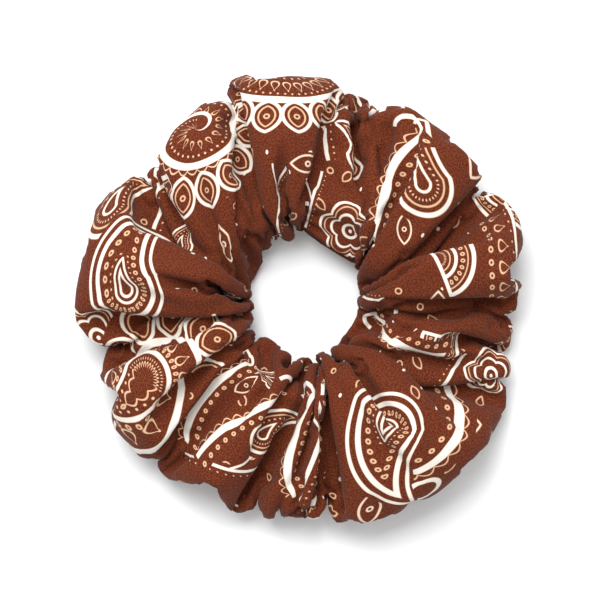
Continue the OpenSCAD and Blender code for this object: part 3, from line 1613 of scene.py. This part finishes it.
@dataclass
class ElasticLoop:
    """The strip of elastic inside the cover, and the zigzag thread that joins its ends."""

    radius: float = ELASTIC_RADIUS * MM
    width: float = 6 * MM
    thickness: float = 1.1 * MM
    height: float = LOOP_HEIGHT * MM
    lap_middle: float = 300.0
    lap_length: float = 12 * MM
    stitches: int = 9
    stitch_width: float = 3.6 * MM
    thread_radius: float = 0.2 * MM

    def build(self) -> None:
        """Makes the strip and its thread."""
        strip = self._strip()
        strip.data.materials.append(BraidedElastic().build())
        stretch_with_loop(strip, "braided_elastic", "elastic_band")
        LOG.info("%s: %d faces", strip.name, len(strip.data.polygons))
        zigzag = self._zigzag()
        # the thread's last colour is painted shade for the grooves of its twist
        pale = TwistedThread("Pale thread", (0.74, 0.72, 0.67, 1), (0.45, 0.43, 0.4, 1))
        zigzag.data.materials.append(pale.build())
        stretch_with_loop(zigzag, "pale_thread", "elastic_lap_thread")
        LOG.info("%s: %d faces", zigzag.name, len(zigzag.data.polygons))

    def _ring(self, radius: float) -> bpy.types.Object:
        """Makes a flat band of the strip's width, all the way round.

        Args:
            radius: from the loop's middle, in metres.

        Returns:
            The band, without its thickness.
        """
        bpy.ops.object.select_all(action="DESELECT")
        bpy.ops.mesh.primitive_circle_add(
            vertices=240, radius=radius, location=(0, 0, self.height - self.width / 2)
        )
        ring = bpy.context.active_object
        bpy.ops.object.transform_apply(location=True)
        bpy.ops.object.mode_set(mode="EDIT")
        bpy.ops.mesh.select_all(action="SELECT")
        bpy.ops.mesh.extrude_region_move(
            TRANSFORM_OT_translate={"value": (0, 0, self.width)}
        )
        bpy.ops.mesh.select_all(action="SELECT")
        bpy.ops.mesh.normals_make_consistent(inside=False)
        bpy.ops.object.mode_set(mode="OBJECT")
        return ring

    def _strip(self) -> bpy.types.Object:
        """Makes the whole loop, with a second layer over the lap.

        Returns:
            The strip.
        """
        loop = self._ring(self.radius)
        loop.name = "elastic_strip"
        lap = self._ring(self.radius + self.thickness * 1.04)
        half = self.lap_length / self.radius / 2
        middle = math.radians(self.lap_middle)
        for part in (*lap.data.polygons, *lap.data.edges):
            part.select = False
        for vertex in lap.data.vertices:
            turn = math.atan2(vertex.co.y, vertex.co.x) - middle
            off = (turn + math.pi) % math.tau - math.pi
            vertex.select = abs(off) > half
        bpy.ops.object.mode_set(mode="EDIT")
        bpy.ops.mesh.delete(type="VERT")
        bpy.ops.object.mode_set(mode="OBJECT")
        for band in (loop, lap):
            wall = band.modifiers.new("Thickness", "SOLIDIFY")
            wall.thickness = self.thickness
            wall.offset = 0
            rounding = band.modifiers.new("Rounded edges", "BEVEL")
            rounding.width = 0.25 * MM
            rounding.segments = 2
            apply_modifiers(band)
        bpy.ops.object.select_all(action="DESELECT")
        lap.select_set(True)
        loop.select_set(True)
        bpy.context.view_layer.objects.active = loop
        bpy.ops.object.join()
        bpy.ops.object.shade_smooth_by_angle(angle=math.radians(40))
        return loop

    def _zigzag(self) -> bpy.types.Object:
        """Makes the thread that holds the lap, on its outer side and back through it.

        Returns:
            The thread.
        """
        points: list[Vector] = []
        span = self.lap_length / self.radius * 0.8
        outside = self.radius + self.thickness * 1.6 + self.thread_radius
        inside = self.radius - self.thickness * 0.5 - self.thread_radius
        for k in range(self.stitches):
            turn = math.radians(self.lap_middle) + span * (k / (self.stitches - 1) - 0.5)
            up = self.height + (-1 if k % 2 == 0 else 1) * self.stitch_width / 2
            ends = (inside, outside) if k % 2 == 0 else (outside, inside)
            for radius in ends:
                points.append(Vector((radius * math.cos(turn), radius * math.sin(turn), up)))
        return thread_along("elastic_lap_stitching", points, self.thread_radius, closed=False)


@dataclass
class Studio:
    """A white table, soft lamps and the camera."""

    camera_height: float = 0.9
    lens: float = 214.0

    def build(self) -> None:
        """Sets the studio up."""
        self._camera()
        self._floor()
        self._light("Key", (-0.15, 0.42, 0.8), 0.55, 11.0)
        self._light("Fill", (0.5, -0.1, 0.8), 0.9, 0.6)
        world = bpy.data.worlds.new("Studio")
        world.use_nodes = True
        background = world.node_tree.nodes["Background"]
        background.inputs["Color"].default_value = (1, 1, 1, 1)
        background.inputs["Strength"].default_value = 0.76
        bpy.context.scene.world = world
        bpy.context.scene.view_settings.view_transform = "Standard"

    def _camera(self) -> None:
        """A long lens straight above the loop."""
        camera = bpy.data.cameras.new("Camera")
        camera.lens = self.lens
        camera.clip_start, camera.clip_end = 0.01, 10
        holder = bpy.data.objects.new("Camera", camera)
        holder.location = (0, 0, self.camera_height)
        bpy.context.collection.objects.link(holder)
        bpy.context.scene.camera = holder

    def _floor(self) -> None:
        """A plain white table."""
        bpy.ops.object.select_all(action="DESELECT")
        bpy.ops.mesh.primitive_plane_add(size=8)
        floor = bpy.context.active_object
        floor.name = "table"
        material, _, shader = start_material("White table")
        shader.inputs["Base Color"].default_value = (0.81, 0.82, 0.825, 1)
        shader.inputs["Roughness"].default_value = 0.8
        shader.inputs["Specular IOR Level"].default_value = 0.1
        floor.data.materials.append(material)
        floor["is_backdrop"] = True

    def _light(
        self, name: str, place: tuple[float, float, float], size: float, power: float
    ) -> None:
        """Hangs a square soft lamp that faces the loop.

        Args:
            name: the lamp's name.
            place: its middle, in metres.
            size: the length of its side, in metres.
            power: in watts.
        """
        lamp = bpy.data.lights.new(name, "AREA")
        lamp.energy = power
        lamp.size = size
        holder = bpy.data.objects.new(name, lamp)
        holder.location = place
        holder.rotation_euler = (-Vector(place)).to_track_quat("-Z", "Y").to_euler()
        bpy.context.collection.objects.link(holder)


def main() -> None:
    """Builds the studio and the scrunchie."""
    logging.basicConfig(level=logging.INFO, format="%(name)s: %(message)s")
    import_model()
    frame_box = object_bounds()
    Studio().build()
    Cover(frame_box).build()
    ElasticLoop().build()


if __name__ == "__main__":
    main()
